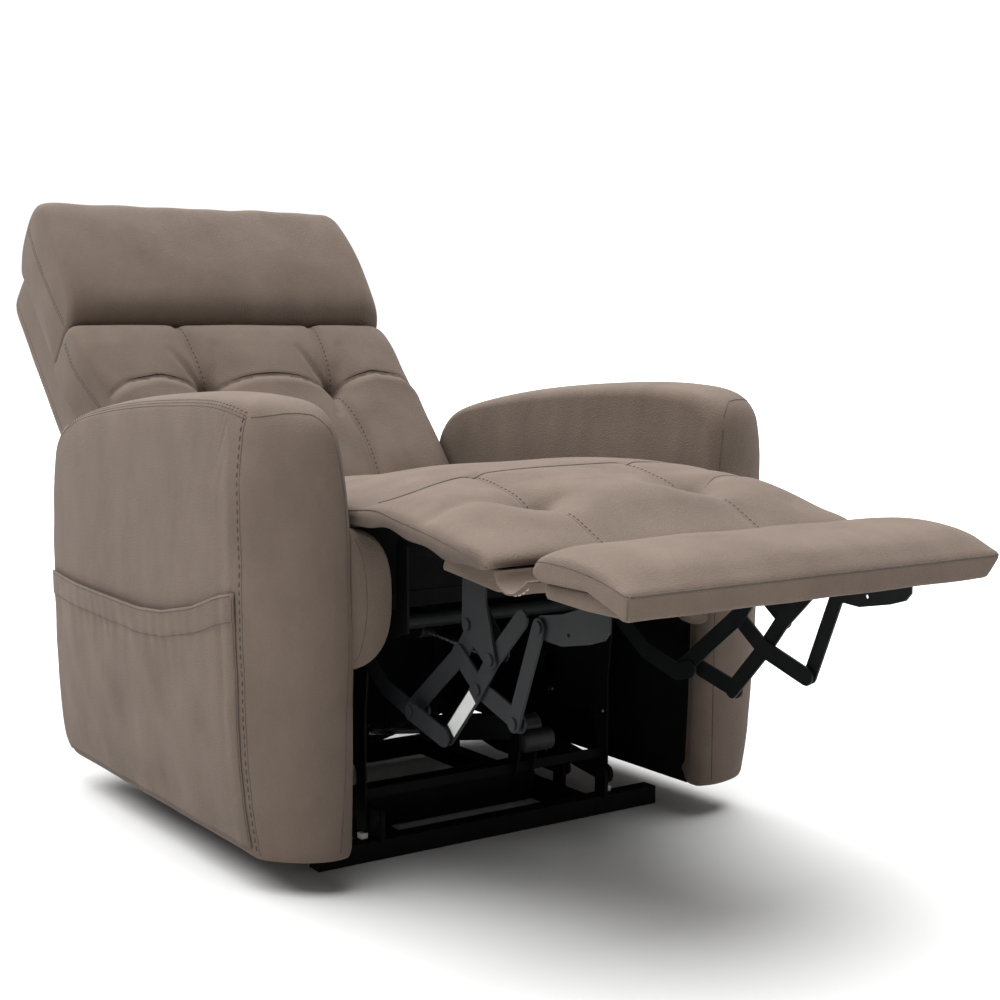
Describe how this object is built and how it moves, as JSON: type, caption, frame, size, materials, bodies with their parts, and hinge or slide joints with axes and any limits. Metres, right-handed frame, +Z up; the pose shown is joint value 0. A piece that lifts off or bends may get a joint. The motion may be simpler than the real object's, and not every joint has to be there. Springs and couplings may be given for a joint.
{
  "type": "lift recliner chair",
  "caption": "Padded lift recliner with raised arms, side pocket and tufted back, shown reclined with its two-pad footrest out, on a black steel lifting frame",
  "frame": {"origin": "middle of the underside of the front floor tube, on the floor", "axes": "+Z up, -Y is the chair's front (the footrest side), +X is the sitter's left"},
  "size_m": [0.8238, 1.7886, 0.9424],
  "materials": {
    "fabric": "taupe suede-look microfibre over foam",
    "lining": "thin black non-woven lining",
    "steel": "satin black powder coat",
    "plastic": "matt black",
    "glide": "white nylon",
    "rod": "polished steel",
    "wood": "plain plywood"
  },
  "bodies": {
    "base": {"base_front_tube": "steel", "base_rear_tube": "steel", "base_mid_brace": "steel", "base_side_rail_left": "steel", "base_side_rail_right": "steel"},
    "main_arms": {"lift_main_arm_left": "steel", "lift_main_arm_right": "steel", "lift_cross_tube": "steel"},
    "front_arms": {"lift_front_arm_left": "steel", "lift_front_arm_right": "steel"},
    "lift_rod": {"lift_actuator_rod": "rod"},
    "lift_motor": {"lift_actuator_housing": "plastic"},
    "chair": {"frame_side_plate_left": "steel", "frame_side_plate_right": "steel", "glide_left": "glide", "glide_right": "glide", "frame_front_crossbar": "steel", "frame_rear_crossbar": "steel", "leg_hinge_rod": "steel", "seat_frame": "wood", "arm_left": "fabric", "arm_right": "fabric", "arm_lining_left": "lining", "arm_lining_right": "lining", "arm_inner_bolster_left": "fabric", "arm_inner_bolster_right": "fabric", "side_pocket": "fabric", "seat_cushion": "fabric", "rear_lining": "lining"},
    "back": {"back_cushion": "fabric", "headrest_pillow": "fabric", "back_shell": "fabric", "back_hinge_ear_left": "steel", "back_hinge_ear_right": "steel"},
    "leg": {"leg_board": "wood", "leg_cushion": "fabric", "leg_flap": "fabric", "leg_bracket_left": "steel", "leg_bracket_right": "steel", "leg_hinge_strap": "steel"},
    "drive": {"drive_link_left": "steel", "drive_link_right": "steel", "drive_torsion_tube": "steel", "drive_crank": "steel"},
    "riser": {"riser_link_left": "steel", "riser_link_right": "steel"},
    "cross": {"cross_link_left": "steel", "cross_link_right": "steel"},
    "upper": {"upper_link_left": "steel", "upper_link_right": "steel"},
    "tail": {"tail_link_left": "steel", "tail_link_right": "steel"},
    "stay": {"stay_link_left": "steel", "stay_link_right": "steel"},
    "foot": {"foot_board": "wood", "foot_cushion": "fabric", "foot_bracket_left": "steel", "foot_bracket_right": "steel"},
    "fold_motor": {"fold_actuator_housing": "plastic"},
    "fold_rod": {"fold_actuator_rod": "rod"}
  },
  "joints": [
    {"name": "lift", "type": "hinge", "parent": "base", "child": "main_arms", "pos_m": [0, 0.0895, 0.05], "axis": [1, 0, 0], "range_deg": [0, 50]},
    {"name": "front_arm_swing", "type": "hinge", "parent": "base", "child": "front_arms", "pos_m": [0, -0.0045, 0.058], "axis": [1, 0, 0], "range_deg": [-0.3, 58.5]},
    {"name": "chair_tilt", "type": "hinge", "parent": "main_arms", "child": "chair", "pos_m": [0, 0.4445, 0.08], "axis": [1, 0, 0], "range_deg": [-30.3, 0.3]},
    {"name": "lift_motor_swing", "type": "hinge", "parent": "chair", "child": "lift_motor", "pos_m": [0, 0.0015, 0.15], "axis": [1, 0, 0], "range_deg": [-26.82, 0.3]},
    {"name": "lift_rod_slide", "type": "slide", "parent": "lift_motor", "child": "lift_rod", "axis": [0, 0.9777, -0.2099], "range_m": [-0.001, 0.172]},
    {"name": "recline", "type": "hinge", "parent": "chair", "child": "back", "pos_m": [0, 0.5095, 0.375], "axis": [1, 0, 0], "range_deg": [-10, 30]},
    {"name": "footrest", "type": "hinge", "parent": "chair", "child": "leg", "pos_m": [0, -0.1305, 0.455], "axis": [1, 0, 0], "range_deg": [0, 90]},
    {"name": "drive_turn", "type": "hinge", "parent": "chair", "child": "drive", "pos_m": [0, 0.0235, 0.318], "axis": [1, 0, 0], "range_deg": [-0.3, 90.3]},
    {"name": "riser_turn", "type": "hinge", "parent": "drive", "child": "riser", "pos_m": [0, -0.1415, 0.235], "axis": [1, 0, 0], "range_deg": [-90.3, 0.3]},
    {"name": "cross_turn", "type": "hinge", "parent": "riser", "child": "cross", "pos_m": [0, -0.2625, 0.33], "axis": [1, 0, 0], "range_deg": [-0.3, 30.3]},
    {"name": "upper_turn", "type": "hinge", "parent": "cross", "child": "upper", "pos_m": [0, -0.3105, 0.295], "axis": [1, 0, 0], "range_deg": [-96.87, 0.3]},
    {"name": "tail_turn", "type": "hinge", "parent": "upper", "child": "tail", "pos_m": [0, -0.2455, 0.225], "axis": [1, 0, 0], "range_deg": [-0.3, 83.91]},
    {"name": "stay_turn", "type": "hinge", "parent": "cross", "child": "stay", "pos_m": [0, -0.3915, 0.27], "axis": [1, 0, 0], "range_deg": [-0.3, 15.3]},
    {"name": "foot_turn", "type": "hinge", "parent": "stay", "child": "foot", "pos_m": [0, -0.4405, 0.39], "axis": [1, 0, 0], "range_deg": [-0.3, 15.3]},
    {"name": "fold_motor_swing", "type": "hinge", "parent": "chair", "child": "fold_motor", "pos_m": [0, 0.4295, 0.3], "axis": [1, 0, 0], "range_deg": [-0.3, 1.42]},
    {"name": "fold_rod_slide", "type": "slide", "parent": "fold_motor", "child": "fold_rod", "axis": [0, -0.9975, -0.07], "range_m": [-0.1017, 0.001]}
  ],
  "couplings": [
    {"joint": "front_arm_swing", "follows": "lift", "ratio": 1.1641},
    {"joint": "chair_tilt", "follows": "lift", "ratio": -0.6},
    {"joint": "lift_motor_swing", "follows": "lift", "ratio": -0.53034},
    {"joint": "lift_rod_slide", "follows": "lift", "m_per_rad": 0.19481},
    {"joint": "drive_turn", "follows": "footrest", "ratio": 1},
    {"joint": "riser_turn", "follows": "footrest", "ratio": -1},
    {"joint": "cross_turn", "follows": "footrest", "ratio": 0.33333},
    {"joint": "upper_turn", "follows": "footrest", "ratio": -1.073},
    {"joint": "tail_turn", "follows": "footrest", "ratio": 0.929},
    {"joint": "stay_turn", "follows": "footrest", "ratio": 0.16667},
    {"joint": "foot_turn", "follows": "footrest", "ratio": 0.16667},
    {"joint": "fold_motor_swing", "follows": "footrest", "ratio": 0.01247},
    {"joint": "fold_rod_slide", "follows": "footrest", "m_per_rad": -0.06346}
  ]
}
